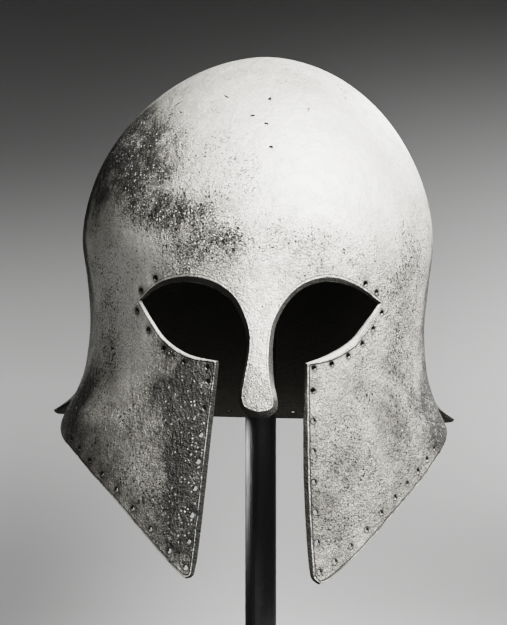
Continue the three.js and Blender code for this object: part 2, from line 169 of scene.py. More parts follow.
# Rows of lining holes: start and end are shares of an edge's first nodes, or angles on the lower edge.
liningHoles = {
    "radius": 1.3,
    "sides": 12,
    "wobble": 0.07,  # how uneven a hole is
    "flatness": 0.92,
    "turn": 40,  # degrees from one hole to the next
    "smallest": 0.86,
    "largest": 1.06,
    "seed": 11,
    "unrolledRadius": 98,  # of the sheet round the lower edge
    "byOpening": namedRows(
        "edge nodes side count start end inset",
        ("upperRim", 6, "right", 2, 0.81, 0.94, 2.8),
        ("upperRim", 6, "left", 2, 0.82, 0.92, 2.8),
        ("lowerRim", 5, "right", 5, 0.08, 0.92, 3.4),
        ("lowerRim", 5, "left", 6, 0.08, 0.94, 2.6),
        ("innerEdge", 5, "right", 8, 0.095, 0.97, 3),
        ("innerEdge", 5, "left", 7, 0.125, 0.975, 2.9)),
    "byLowerEdge": namedRows(
        "side count start end inset",
        ("right", 8, 26.5, 69, 4.1),
        ("left", 9, 24, 65, 5.2),
        ("right", 13, 101, 180, 3.4),
        ("left", 12, 101, 173.5, 3.4)),
}

sideSign = {"right": -1, "left": 1}
crownLevel = helmetPlace["crownLevel"]


def smoothStep(value):
    value = np.clip(value, 0, 1)
    return value * value * (3 - 2 * value)


# Smooth curve through a table's rows, level at the first one if asked, and straight past both ends.
def throughRows(rows, across, along, at, levelStart=False):
    x = np.array([row[across] for row in rows], float)
    y = np.array([row[along] for row in rows], float)
    slope = np.gradient(y, x)
    slope[1:-1] = (y[2:] - y[:-2]) / (x[2:] - x[:-2])
    if levelStart:
        slope[0] = 0
    if x[0] > x[-1]:
        x, y, slope = x[::-1], y[::-1], slope[::-1]
    i = np.clip(np.searchsorted(x, at, side="right") - 1, 0, len(x) - 2)
    span = x[i + 1] - x[i]
    t = np.clip((at - x[i]) / span, 0, 1)
    curve = (2 * t**3 - 3 * t**2 + 1) * y[i] + (t**3 - 2 * t**2 + t) * span * slope[i]
    curve = curve + (3 * t**2 - 2 * t**3) * y[i + 1] + (t**3 - t**2) * span * slope[i + 1]
    before = np.minimum(at - x[0], 0) * slope[0]
    after = np.maximum(at - x[-1], 0) * slope[-1]
    return curve + before + after


def profileReach(profile, level):
    widest = profile["rows"][0]
    share = np.clip((level - widest["level"]) / (crownLevel - widest["level"]), 0, 1)
    oval = widest["reach"] * (1 - share ** profile["roundness"]) ** (1 / profile["roundness"])
    flank = throughRows(profile["rows"], "level", "reach", level, True)
    return np.where(level < widest["level"], flank, oval)


def sideReach(side, level):
    right = profileReach(helmetForm["side"]["right"], level)
    left = profileReach(helmetForm["side"]["left"], level)
    return np.where(side < 0, right, left)


def outerPoint(angle, level):
    angle = np.asarray(angle, float)
    level = np.asarray(level, float)
    sine = np.sin(np.radians(angle))
    cosine = np.cos(np.radians(angle))
    prow = helmetForm["prow"]
    below = (prow["startLevel"] - level) / (prow["startLevel"] - prow["fullLevel"])
    narrowing = prow["amount"] * smoothStep(below)
    forward = profileReach(helmetForm["front"], level) * (1 - narrowing * sine**2)
    reach = np.where(cosine > 0, forward, profileReach(helmetForm["back"], level))
    lip = helmetForm["lip"]
    folded = np.abs((angle + 180) % 360 - 180)
    share = smoothStep((folded - lip["startAngle"]) / (lip["fullAngle"] - lip["startAngle"]))
    turnedOut = share * lip["reach"] * (np.maximum(0, lip["startLevel"] - level) / lip["depth"]) ** 2
    shift = helmetForm["crownShift"]
    climb = np.clip((level - shift["startLevel"]) / (crownLevel - shift["startLevel"]), 0, 1)
    x = shift["amount"] * climb ** shift["roundness"] + (sideReach(sine, level) + turnedOut) * sine
    return np.stack([x, -(reach + turnedOut) * cosine, level + 0 * angle], axis=-1)


def surfaceSlopes(angle, level):
    step = 0.1
    along = (outerPoint(angle + step, level) - outerPoint(angle - step, level)) / (2 * step)
    high = np.minimum(level + step, crownLevel)
    up = (outerPoint(angle, high) - outerPoint(angle, level - step)) / (high - level + step)[:, None]
    return along, up


def outerNormal(angle, level):
    along, up = surfaceSlopes(angle, level)
    normal = np.cross(along, up)
    length = np.linalg.norm(normal, axis=-1, keepdims=True)
    crown = level > crownLevel - 0.05
    normal = np.where(crown[:, None], [0.0, 0.0, 1.0], normal / np.maximum(length, 1e-9))
    return normal


def wallThickness(angle, level):
    wall = helmetForm["wall"]
    folded = (angle + 180) % 360 - 180
    aside = folded / wall["noseAngleSpread"]
    away = aside**2 + ((level - wall["noseLevel"]) / wall["noseLevelSpread"]) ** 2
    return wall["dome"] + (wall["nose"] - wall["dome"]) * np.exp(-away)


def angleAt(x, level):
    return np.degrees(np.arcsin(x / sideReach(x, level)))


def lowerLevel(angle):
    angle = np.asarray(angle, float)
    level = np.zeros_like(angle)
    for side, sign in sideSign.items():
        at = np.abs(angle)
        cheekCorner = helmetEdges["cheek"][-1]
        neckCorner = helmetEdges["neck"][0]
        notch = helmetEdges["notch"]
        cheek = throughRows(helmetEdges["cheek"], "angle", side, at)
        neck = throughRows(helmetEdges["neck"], "angle", side, at)
        places = [cheekCorner["angle"], notch["angle"], neckCorner["angle"]]
        legs = np.interp(at, places, [cheekCorner[side], notch["level"], neckCorner[side]])
        behind = np.where(at >= neckCorner["angle"], neck, legs)
        here = np.where(at <= cheekCorner["angle"], cheek, behind)
        level = np.where(np.sign(angle) == sign, here, level)
    return level


# Centripetal curve through points, with the same number of steps in each span.
def smoothRun(nodes, perSpan):
    nodes = np.array(nodes, float)
    padded = np.vstack([2 * nodes[0] - nodes[1], nodes, 2 * nodes[-1] - nodes[-2]])
    places = []
    for i in range(len(nodes) - 1):
        p0, p1, p2, p3 = padded[i:i + 4]
        d0, d1, d2 = (np.linalg.norm(b - a) ** 0.5 for a, b in ((p0, p1), (p1, p2), (p2, p3)))
        leave = ((p1 - p0) / d0 - (p2 - p0) / (d0 + d1) + (p2 - p1) / d1) * d1
        arrive = ((p2 - p1) / d1 - (p3 - p1) / (d1 + d2) + (p3 - p2) / d2) * d1
        for t in np.arange(perSpan) / perSpan:
            places.append(
                (2 * t**3 - 3 * t**2 + 1) * p1 + (t**3 - 2 * t**2 + t) * leave
                + (3 * t**2 - 2 * t**3) * p2 + (t**3 - t**2) * arrive)
    return np.array(places + [nodes[-1]])


def edgeRun(rows, side, perSpan=12):
    nodes = [(sideSign[side] * row[side + "X"], row[side + "Z"], row[side + "Bevel"]) for row in rows]
    return smoothRun(nodes, perSpan)


# How fine the sheet is modelled, in mm. Its edges are loops of places: angle, level and bevel.
sheetDetail = {
    "outerSpacing": 1.55,  # mm between points of the outer face
    "innerSpacing": 3.4,
    "edgeSpacing": 1.2,
    "rimStep": 0.3,  # between the points that distances to the rim are measured from
    "corner": 0.3,  # rounding of the sheet's edges
    "holeCorner": 0.18,
    "hold": 0.3,  # band kept flat beside a rounded edge
    "holeHold": 0.22,
    "clearance": 0.55,  # share of the spacing kept free beside a loop
    "hammer": 0.2,  # depth of the sheet's unevenness
    "broadWave": 26,
    "middleWave": 11,
    "middleShare": 0.45,
    "fineWave": 5,
    "fineDepth": 0.05,
    "dimple": 0.45,  # depth of the punch marks round the lining holes
    "dimpleWidth": 2.2,
}


def lengthsAlong(points):
    steps = np.linalg.norm(np.diff(points, axis=0), axis=1)
    return np.concatenate([[0], np.cumsum(steps)])


# Shares a run out evenly by its length over the curved sheet.
def evenRun(places, spacing):
    travelled = lengthsAlong(outerPoint(places[:, 0], places[:, 1]))
    count = max(2, round(travelled[-1] / spacing))
    at = np.linspace(0, travelled[-1], count + 1)
    return np.stack([np.interp(at, travelled, column) for column in places.T], axis=1)


def asAngles(run):
    return np.stack([angleAt(run[:, 0], run[:, 1]), run[:, 1], run[:, 2]], axis=1)


def lowerRun(side, start, end, step=0.5):
    angle = sideSign[side] * np.linspace(start, end, int(abs(end - start) / step) + 2)
    return np.stack([angle, lowerLevel(angle), 0 * angle], axis=1)


def sheetOutline():
    notch = helmetEdges["notch"]["angle"]
    cheekCorner = helmetEdges["cheek"][-1]["angle"]
    neckCorner = helmetEdges["neck"][0]["angle"]
    halves = {}
    for side in ("right", "left"):
        tip = edgeRun(helmetEdges["innerEdge"], side)
        cheekEdge = lowerRun(side, helmetEdges["tipEnd"][side], cheekCorner)
        halves[side] = [
            asAngles(edgeRun(helmetEdges["nose"] + helmetEdges["upperRim"], side)),
            asAngles(edgeRun(helmetEdges["lowerRim"], side)),
            np.vstack([asAngles(tip), cheekEdge]),
            lowerRun(side, cheekCorner, notch),
            lowerRun(side, notch, neckCorner),
            lowerRun(side, neckCorner, 180),
        ]
    noseTip = helmetEdges["noseTip"]
    middle = np.array([[angleAt(noseTip["x"], noseTip["z"]), noseTip["z"], noseTip["bevel"]]])
    runs = [np.vstack([middle, halves["right"][0]])] + halves["right"][1:]
    runs += [run[::-1] for run in halves["left"][::-1]]
    runs[-1] = np.vstack([runs[-1], middle])
    loop = np.vstack([evenRun(run, sheetDetail["edgeSpacing"])[:-1] for run in runs])
    return loop


def holePlaces():
    places = []
    for row in liningHoles["byOpening"]:
        sign = sideSign[row["side"]]
        run = edgeRun(helmetEdges[row["edge"]][:row["nodes"]], row["side"])[:, :2]
        travelled = lengthsAlong(run)
        for share in np.linspace(row["start"], row["end"], row["count"]):
            at = share * travelled[-1]
            here = np.array([np.interp(at, travelled, run[:, k]) for k in (0, 1)])
            beyond = np.array([np.interp(at + 0.5, travelled, run[:, k]) for k in (0, 1)])
            behind = np.array([np.interp(at - 0.5, travelled, run[:, k]) for k in (0, 1)])
            along = (beyond - behind) / np.linalg.norm(beyond - behind)
            x = here[0] - along[1] * row["inset"] * sign
            level = here[1] + along[0] * row["inset"] * sign
            places.append((float(angleAt(x, level)), level))
    unrolled = math.radians(liningHoles["unrolledRadius"])
    for row in liningHoles["byLowerEdge"]:
        sign = sideSign[row["side"]]
        for angle in sign * np.linspace(row["start"], row["end"], row["count"]):
            near = lowerLevel(np.array([angle - 1, angle, angle + 1]))
            rise = math.atan2(near[2] - near[0], 2 * unrolled)
            if abs(angle) > 179:
                rise = 0
            aside = row["inset"] * math.sin(rise) / unrolled
            places.append((angle - aside, near[1] + row["inset"] * math.cos(rise)))
    return places


# In-sheet direction that leads out of the metal, lengthened at corners, along a counterclockwise cut.
def leadingOut(loop):
    points = outerPoint(loop[:, 0], loop[:, 1])
    normals = outerNormal(loop[:, 0], loop[:, 1])
    arrive = points - np.roll(points, 1, axis=0)
    leave = np.roll(points, -1, axis=0) - points
    arrive /= np.linalg.norm(arrive, axis=1, keepdims=True)
    leave /= np.linalg.norm(leave, axis=1, keepdims=True)
    first = np.cross(normals, arrive)
    second = np.cross(normals, leave)
    out = first + second
    out /= np.linalg.norm(out, axis=1, keepdims=True)
    mitre = np.maximum(0.6, np.einsum("ij,ij->i", out, first))
    return out / mitre[:, None]


# Moves places over the sheet by a distance along a direction that lies in it.
def shiftedPlaces(loop, direction, distance):
    along, up = surfaceSlopes(loop[:, 0], loop[:, 1])
    wanted = direction * np.asarray(distance)[:, None]
    aa = np.einsum("ij,ij->i", along, along)
    bb = np.einsum("ij,ij->i", up, up)
    ab = np.einsum("ij,ij->i", along, up)
    wa = np.einsum("ij,ij->i", wanted, along)
    wb = np.einsum("ij,ij->i", wanted, up)
    determinant = aa * bb - ab * ab
    angle = loop[:, 0] + (wa * bb - wb * ab) / determinant
    level = loop[:, 1] + (wb * aa - wa * ab) / determinant
    return np.stack([angle, level], axis=1)


def roundLoop(angle, level, length, width, tilt, sides, wobble, seed):
    random = np.random.default_rng(seed)
    turn = np.linspace(0, 2 * np.pi, sides, endpoint=False)
    swell = 1 + wobble * random.uniform(-1, 1, sides)
    along = length / 2 * np.cos(turn) * swell
    across = width / 2 * np.sin(turn) * swell
    lean = math.radians(tilt)
    sideways = along * math.cos(lean) - across * math.sin(lean)
    upwards = along * math.sin(lean) + across * math.cos(lean)
    east, north = (v[0] for v in surfaceSlopes(np.array([angle]), np.array([level])))
    up = north - east * (north @ east) / (east @ east)
    levels = level + upwards * np.linalg.norm(up) / (up @ up)
    angles = angle + sideways / np.linalg.norm(east) - (levels - level) * (north @ east) / (east @ east)
    return np.stack([angles, levels], axis=1)


# Rows of the cut from the outer face to the inner one: how far out of the metal, share of the wall's depth.
def cutRows(corner, hold, bevel, wall):
    slope = np.clip(bevel / wall, 0, 3)
    return [
        (-corner - hold + 0 * bevel, 0 * wall),
        (-corner + 0 * bevel, 0 * wall),
        (-corner * 0.3 + slope * corner * 0.15, corner * 0.25 + 0 * wall),
        (slope * corner, corner + 0 * wall),
        (bevel * 0.5, wall * 0.5),
        (bevel - slope * corner, wall - corner),
        (bevel - corner * 0.4, wall - corner * 0.2),
        (bevel - corner - 0.1, wall),
        (bevel - corner - hold - 0.2, wall),
    ]


discSettings = {
    "samples": 6000,
    "firstShare": 1e-4,
    "belowTips": 14,  # mm that the map goes on under the cheek tips
    "angleStep": 10,
    "rowStep": 0.866,  # of the spacing, between rings of points
}


# The conformal map of the sheet onto a disc, in which its faces are triangulated.
class DiscMap:
    def __init__(self, settings):
        share = np.linspace(settings["firstShare"], 1, settings["samples"])
        level = crownLevel - (crownLevel + settings["belowTips"]) * share**2
        angles = np.arange(0, 360, settings["angleStep"])
        reach = np.mean([np.hypot(*outerPoint(a, level)[:, :2].T) for a in angles], axis=0)
        steps = np.hypot(np.diff(reach), np.diff(level))
        arc = np.concatenate([[reach[0]], reach[0] + np.cumsum(steps)])
        growth = np.concatenate([[0], np.cumsum(np.diff(arc) / ((reach[1:] + reach[:-1]) / 2))])
        self.level, self.reach, self.arc = level, reach, arc
        self.rowStep = settings["rowStep"]
        self.radius = reach[0] * np.exp(growth)

    def flat(self, angle, level):
        radius = np.interp(-level, -self.level, self.radius)
        turn = np.radians(angle)
        return np.stack([radius * np.cos(turn), radius * np.sin(turn)], axis=-1)

    def rings(self, spacing):
        places = [np.array([[0.0, crownLevel]])]
        count = int(self.arc[-1] / (spacing * self.rowStep))
        for ring in range(1, count):
            at = ring * spacing * self.rowStep
            level = np.interp(at, self.arc, self.level)
            around = max(6, round(2 * math.pi * np.interp(at, self.arc, self.reach) / spacing))
            angle = (np.arange(around) + (ring % 2) / 2) * 360 / around - 180
            places.append(np.stack([angle, level + 0 * angle], axis=1))
        return np.vstack(places)


def insideLoop(points, loop):
    inside = np.zeros(len(points), bool)
    x, y = points.T
    ahead = np.roll(loop, -1, axis=0)
    for (x1, y1), (x2, y2) in zip(loop, ahead):
        crosses = (y1 > y) != (y2 > y)
        if y1 != y2:
            inside ^= crosses & (x < (x2 - x1) * (y - y1) / (y2 - y1) + x1)
    return inside


def nearestDistances(points, targets):
    tree = kdtree.KDTree(len(targets))
    for i, target in enumerate(targets):
        tree.insert(target, i)
    tree.balance()
    return np.array([tree.find(point)[2] for point in points])


# Triangles of one face of the sheet: points inside the outline, clear of every loop.
def faceTriangles(disc, loops, spacing):
    flats = [disc.flat(loop[:, 0], loop[:, 1]) for loop in loops]
    rims = np.vstack([outerPoint(loop[:, 0], loop[:, 1]) for loop in loops])
    places = disc.rings(spacing)
    places = places[insideLoop(disc.flat(*places.T), flats[0])]
    clear = nearestDistances(outerPoint(*places.T), rims) > spacing * sheetDetail["clearance"]
    places = places[clear]
    for flat in flats[1:]:
        middle = flat.mean(axis=0)
        size = np.abs(flat - middle).max() * 1.5
        spots = disc.flat(*places.T)
        near = np.flatnonzero(np.abs(spots - middle).max(axis=1) < size)
        if len(near):
            within = insideLoop(spots[near], flat)
            places = np.delete(places, near[within], axis=0)
    starts = np.cumsum([0] + [len(loop) for loop in loops])
    edges = []
    owner = np.full(starts[-1] + len(places), -1)
    for i, loop in enumerate(loops):
        ids = np.arange(starts[i], starts[i + 1])
        owner[ids] = i
        edges += list(zip(ids.tolist(), np.roll(ids, -1).tolist()))
    flat = np.vstack(flats + [disc.flat(*places.T)])
    coordinates = [Vector(p) for p in flat.tolist()]
    mapped = geometry.delaunay_2d_cdt(coordinates, edges, [], 0, 1e-9)
    made, faces, sources = mapped[0], mapped[2], mapped[3]
    names = np.array([source[0] for source in sources])
    triangles = names[np.array(faces)]
    owners = owner[triangles]
    sameLoop = (owners[:, 0] >= 0) & (owners[:, 0] == owners[:, 1]) & (owners[:, 1] == owners[:, 2])
    keep = np.ones(len(triangles), bool)
    for i, loop in enumerate(flats):
        mine = np.flatnonzero(sameLoop & (owners[:, 0] == i))
        if len(mine):
            within = insideLoop(flat[triangles[mine]].mean(axis=1), loop)
            keep[mine] = within if i == 0 else ~within
    triangles = triangles[keep]
    print("face", spacing, "points", len(flat), "made", len(made), "triangles", len(triangles))
    return np.vstack([loop[:, :2] for loop in loops] + [places]), triangles, starts


# Flaws of the dome, sizes in mm: pits and cracks that don't go through.
flaws = namedRows(
    "angle level length width tilt depth",
    (-6, 229, 2.2, 1.7, 30, 1.1), (0, 225, 2.2, 1.5, -20, 1), (2, 213, 1.9, 1.6, 0, 1.2),
    (1, 238, 3.4, 1.5, 80, 1.3), (19, 233, 3.6, 1, 60, 0.9), (-47, 236, 6.6, 1, 48, 1),
    (-46, 230, 4.2, 1, 35, 0.9), (-41, 231, 3.4, 0.9, -25, 0.8), (-26, 249, 3.2, 0.8, 15, 0.7),
    (-21, 239, 4.2, 0.7, -35, 0.6), (128, 190, 5, 0.9, 70, 0.8), (-150, 205, 2.4, 1.6, 10, 1),
    (172, 170, 4, 0.8, -50, 0.7))

# How a flaw is sunk: mm in from its edge, share of its depth.
flawShape = {
    "sides": 14,
    "wobble": 0.22,
    "firstSeed": 100,
    "bottom": 1.1,
    "sink": namedRows("shift share", (-0.3, 0), (-0.05, 0.08), (0.08, 0.5), (0.16, 1)),
}

# Soft spots on the sheet, sizes in mm: tone darkens the patina or, below 0, pales it; dots adds pits. On the
# wearer's right the dark spots along the dome's edge and the cheek's inner edge are painted shade, and the
# pale ones beside the eye are painted light.
stainsAndShading = namedRows(
    "angle level wide high tone dots",
    (-70, 222, 18, 15, 1.3, 0.4), (-68, 206, 20, 26, 0.9, 0.6), (-50, 208, 17, 24, 0.75, 0.7),
    (-36, 206, 16, 20, 0.3, 0.4), (-43, 187, 16, 12, 0.4, 0.8), (-32, 178, 15, 9, 0.6, 0.8),
    (-23, 179, 13, 8, 0.3, 0.9), (-25, 161, 11, 9, 0.42, 0.8), (-14, 167, 13, 10, 0.2, 0.8),
    (-84, 165, 13, 64, 1.0, 0.4), (-62, 118, 13, 40, -0.15, 0.5), (-72, 84, 16, 16, 0.7, 0.3),
    (-48, 153, 15, 18, -0.75, 0.2), (-47, 118, 14, 22, -0.85, 0.2), (-31, 113, 9, 5, 0.3, 0.3),
    (-20, 96, 14, 13, 1.3, 0.25), (-18, 70, 15, 20, 1.6, 0.1), (-16, 44, 13, 18, 1.1, 0.15),
    (-20, 20, 13, 14, 0.5, 0.3), (-33, 88, 13, 10, 0.4, 0.4), (-26, 38, 13, 16, 0.1, 0.4),
    (-38, 52, 22, 16, -0.2, 0.4), (-95, 80, 16, 12, 1.1, 0), (95, 80, 16, 12, 1.1, 0),
    (72, 79, 15, 15, 1.5, 0.4), (56, 120, 24, 44, 0.1, 0.5), (86, 132, 17, 50, 1.1, 0.3),
    (24, 58, 20, 24, 0.08, 0.25), (12, 167, 36, 11, 0.05, 0.5), (60, 160, 22, 16, 0.0, 0.5),
    (-6, 200, 22, 24, 0, 0.4), (28, 200, 42, 30, -0.3, -0.4), (8, 222, 40, 22, -0.25, -0.2),
    (0, 120, 10, 40, -0.35, -0.1), (160, 190, 34, 24, 0.4, 0.5), (-130, 130, 30, 24, 0.4, 0.4),
    (115, 110, 26, 18, 0.35, 0.4))


class SheetMesh:
    def __init__(self):
        self.places, self.depths, self.sides, self.triangles = [], [], [], []
        self.count = 0

    def add(self, places, depths, side):
        first = self.count
        self.places.append(np.asarray(places)[:, :2])
        self.depths.append(np.asarray(depths) + np.zeros(len(places)))
        self.sides.append(np.full(len(places), side, float))
        self.count += len(places)
        return first

    def strip(self, first, second, count):
        a = np.arange(count)
        b = (a + 1) % count
        self.triangles.append(np.stack([first + a, second + a, second + b], axis=1))
        self.triangles.append(np.stack([first + a, second + b, first + b], axis=1))

    def fan(self, centre, ring, count):
        a = np.arange(count)
        self.triangles.append(np.stack([centre + 0 * a, ring + a, ring + (a + 1) % count], axis=1))


def cutLoops(detail):
    outline = sheetOutline()
    random = np.random.default_rng(liningHoles["seed"])
    cuts = [{"loop": outline[:, :2], "bevel": outline[:, 2], "corner": detail["corner"],
             "hold": detail["hold"]}]
    for i, (angle, level) in enumerate(holePlaces()):
        size = 2 * liningHoles["radius"] * random.uniform(liningHoles["smallest"], liningHoles["largest"])
        loop = roundLoop(angle, level, size, size * liningHoles["flatness"], liningHoles["turn"] * i,
                         liningHoles["sides"], liningHoles["wobble"], i)
        cuts.append({"loop": loop, "bevel": np.zeros(len(loop)), "corner": detail["holeCorner"],
                     "hold": detail["holeHold"]})
    for cut in cuts:
        cut["out"] = leadingOut(cut["loop"])
        cut["wall"] = wallThickness(*cut["loop"].T)
        rows = cutRows(cut["corner"], cut["hold"], cut["bevel"], cut["wall"])
        cut["rows"] = [(shiftedPlaces(cut["loop"], cut["out"], shift), depth) for shift, depth in rows]
    return cuts


def flawLoops(shape):
    loops = []
    for i, row in enumerate(flaws):
        measures = [row[name] for name in ("angle", "level", "length", "width", "tilt")]
        loop = roundLoop(*measures, shape["sides"], shape["wobble"], shape["firstSeed"] + i)
        out = leadingOut(loop)
        same = np.ones(len(loop))
        rows = [(shiftedPlaces(loop, out, same * step["shift"]), same * (step["share"] * row["depth"]))
                for step in shape["sink"]]
        loops.append({"rows": rows, "bottom": row["depth"] * shape["bottom"],
                      "centre": np.array([[row["angle"], row["level"]]])})
    return loops


def sheetRelief(points, sides, holeGaps, detail):
    depth = np.zeros(len(points))
    for i, point in enumerate(points):
        spot = Vector(point)
        middle = noise.noise(spot / detail["middleWave"] + Vector((7, 3, 1)))
        broad = noise.noise(spot / detail["broadWave"]) + detail["middleShare"] * middle
        fine = noise.noise(spot / detail["fineWave"] + Vector((2, 9, 4)))
        depth[i] = detail["hammer"] * (0.75 + 0.5 * broad) + detail["fineDepth"] * fine
    dimple = detail["dimple"] * np.exp(-((holeGaps / detail["dimpleWidth"]) ** 2))
    return depth + np.where(sides < 0.5, dimple, 0)


def spotShares(points, kind):
    total = np.zeros(len(points))
    for row in stainsAndShading:
        middle = outerPoint(np.array([row["angle"]]), np.array([row["level"]]))[0]
        flatGap = np.hypot(points[:, 0] - middle[0], points[:, 1] - middle[1]) / row["wide"]
        highGap = (points[:, 2] - middle[2]) / row["high"]
        total += row[kind] * np.exp(-(flatGap**2 + highGap**2))
    return total


def turnedIntoPlace(points):
    lean = math.radians(helmetPlace["leanDegrees"])
    height = points[:, 2] - crownLevel
    axis = postX / mm + helmetPlace["crownOffset"]
    x = axis + points[:, 0] * math.cos(lean) + height * math.sin(lean)
    z = crownHeight - points[:, 0] * math.sin(lean) + height * math.cos(lean)
    return np.stack([x, points[:, 1] + postY / mm, z], axis=1)


def buildHelmet(detail):
    disc = DiscMap(discSettings)
    cuts = cutLoops(detail)
    pits = flawLoops(flawShape)
    mesh = SheetMesh()
    outerLoops = [cut["rows"][0][0] for cut in cuts] + [pit["rows"][0][0] for pit in pits]
    places, triangles, starts = faceTriangles(disc, outerLoops, detail["outerSpacing"])
    mesh.add(places, 0, 0)
    mesh.triangles.append(triangles)
    innerLoops = [cut["rows"][-1][0] for cut in cuts]
    places, triangles, innerStarts = faceTriangles(disc, innerLoops, detail["innerSpacing"])
    innerFirst = mesh.add(places, wallThickness(*places.T), 1)
    mesh.triangles.append(triangles + innerFirst)
    for i, cut in enumerate(cuts):
        count = len(cut["loop"])
        above = starts[i]
        for row, (spots, depth) in enumerate(cut["rows"][1:-1]):
            below = mesh.add(spots, depth, (row + 1) / len(cut["rows"]))
            mesh.strip(above, below, count)
            above = below
        mesh.strip(above, innerFirst + innerStarts[i], count)
    for i, pit in enumerate(pits):
        count = len(pit["rows"][0][0])
        above = starts[len(cuts) + i]
        for spots, depth in pit["rows"][1:]:
            below = mesh.add(spots, depth, 0.5)
            mesh.strip(above, below, count)
            above = below
        mesh.fan(mesh.add(pit["centre"], pit["bottom"], 0.5), above, count)

    places = np.vstack(mesh.places)
    depths = np.concatenate(mesh.depths)
    sides = np.concatenate(mesh.sides)
    smooth = outerPoint(*places.T)
    normals = outerNormal(*places.T)
    outline = cuts[0]["loop"]
    fine = evenRun(np.vstack([outline, outline[:1]]), detail["rimStep"])
    rimGap = nearestDistances(smooth, outerPoint(*fine.T))
    holeMiddles = np.array([cut["loop"].mean(axis=0) for cut in cuts[1:]])
    holeGap = nearestDistances(smooth, outerPoint(*holeMiddles.T)) - liningHoles["radius"]
    relief = sheetRelief(smooth, sides, np.maximum(holeGap, 0), detail)
    points = smooth - normals * (depths + relief)[:, None]
    points = turnedIntoPlace(points) * mm
    low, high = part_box("helmet_shell")
    points = np.clip(points, np.array(low), np.array(high))

    triangles = np.vstack(mesh.triangles)
    data = bpy.data.meshes.new("helmetSheet")
    data.from_pydata(points.tolist(), [], triangles.tolist())
    for name, values in (("rimGap", rimGap), ("holeGap", holeGap), ("inside", sides),
                         ("stainAndShading", spotShares(smooth, "tone")), ("dots", spotShares(smooth, "dots")),
                         ("level", places[:, 1])):
        data.attributes.new(name, "FLOAT", "POINT").data.foreach_set("value", values.astype(np.float32))
    helmet = addObject("helmetSheet", data)
    shape = bmesh.new()
    shape.from_mesh(data)
    bmesh.ops.recalc_face_normals(shape, faces=shape.faces)
    loose = [v for v in shape.verts if not v.link_faces]
    bmesh.ops.delete(shape, geom=loose, context="VERTS")
    openEdges = sum(1 for edge in shape.edges if len(edge.link_faces) != 2)
    shape.to_mesh(data)
    shape.free()
    data.shade_smooth()
    data.set_sharp_from_angle(angle=math.radians(55))
    print("helmet triangles", len(data.polygons), "open edges", openEdges, "loose", len(loose))
    return helmet


helmet = buildHelmet(sheetDetail)
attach(helmet, "root")
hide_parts("helmet_shell")
print("helmet built")


# Short ways to add nodes and join them.
def fillInputs(tree, node, inputs):
    for name, value in inputs.items():
        if isinstance(value, bpy.types.NodeSocket):
            tree.links.new(value, node.inputs[name])
        else:
            node.inputs[name].default_value = value


def addNode(tree, kind, inputs=None, **settings):
    node = tree.nodes.new(kind)
    for name, value in settings.items():
        setattr(node, name, value)
    fillInputs(tree, node, inputs or {})
    return node


def doMath(tree, operation, first, second=0.0, third=0.0, clamp=False):
    inputs = {0: first, 1: second, 2: third}
    return addNode(tree, "ShaderNodeMath", inputs, operation=operation, use_clamp=clamp).outputs[0]


def times(tree, first, second, clamp=False):
    return doMath(tree, "MULTIPLY", first, second, clamp=clamp)


def plus(tree, first, second):
    return doMath(tree, "ADD", first, second)


def minus(tree, first, second, clamp=False):
    return doMath(tree, "SUBTRACT", first, second, clamp=clamp)


def timesPlus(tree, first, second, third, clamp=False):
    return doMath(tree, "MULTIPLY_ADD", first, second, third, clamp)


# Adds each value times its gain.
def summed(tree, total, terms):
    for value, gain in terms:
        total = timesPlus(tree, value, gain, total)
    return total


def distanceTo(tree, value, middle):
    return doMath(tree, "ABSOLUTE", minus(tree, value, middle))


def softStep(tree, value, low, high, toLow=0.0, toHigh=1.0):
    inputs = {"Value": value, "From Min": low, "From Max": high, "To Min": toLow, "To Max": toHigh}
    node = addNode(tree, "ShaderNodeMapRange", inputs, interpolation_type="SMOOTHSTEP")
    return node.outputs["Result"]


def noiseAt(tree, place, scale, detail=2.0, roughness=0.5, distortion=0.0):
    inputs = {"Vector": place, "Scale": scale, "Detail": detail, "Roughness": roughness,
              "Distortion": distortion}
    return addNode(tree, "ShaderNodeTexNoise", inputs).outputs["Fac"]


def oneAxis(tree, vector, axis):
    return addNode(tree, "ShaderNodeSeparateXYZ", {0: vector}).outputs[axis]


# How far a face looks upwards.
def upwardShare(tree):
    return oneAxis(tree, addNode(tree, "ShaderNodeNewGeometry").outputs["Normal"], "Z")


def mixColour(tree, share, first, second, blend="MIX"):
    inputs = {0: share, 6: first, 7: second}
    return addNode(tree, "ShaderNodeMix", inputs, data_type="RGBA", blend_type=blend).outputs[2]


# Lays colours over one another, each by its mask and how strongly.
def overlaid(tree, colour, layers):
    for mask, share, over in layers:
        colour = mixColour(tree, times(tree, mask, share), colour, over)
    return colour


# A node group that takes Place and plain numbers, and puts out plain values.
def newGroup(name, inputs, outputs):
    tree = bpy.data.node_groups.new(name, "ShaderNodeTree")
    tree.interface.new_socket("Place", in_out="INPUT", socket_type="NodeSocketVector")
    for label, value in inputs.items():
        socket = tree.interface.new_socket(label, in_out="INPUT", socket_type="NodeSocketFloat")
        socket.default_value = value
    for label in outputs:
        tree.interface.new_socket(label, in_out="OUTPUT", socket_type="NodeSocketFloat")
    start = tree.nodes.new("NodeGroupInput")
    end = tree.nodes.new("NodeGroupOutput")
    return tree, start.outputs, end.inputs


def useGroup(tree, group, place, inputs):
    node = addNode(tree, "ShaderNodeGroup", node_tree=group)
    tree.links.new(place, node.inputs["Place"])
    fillInputs(tree, node, inputs)
    return node.outputs


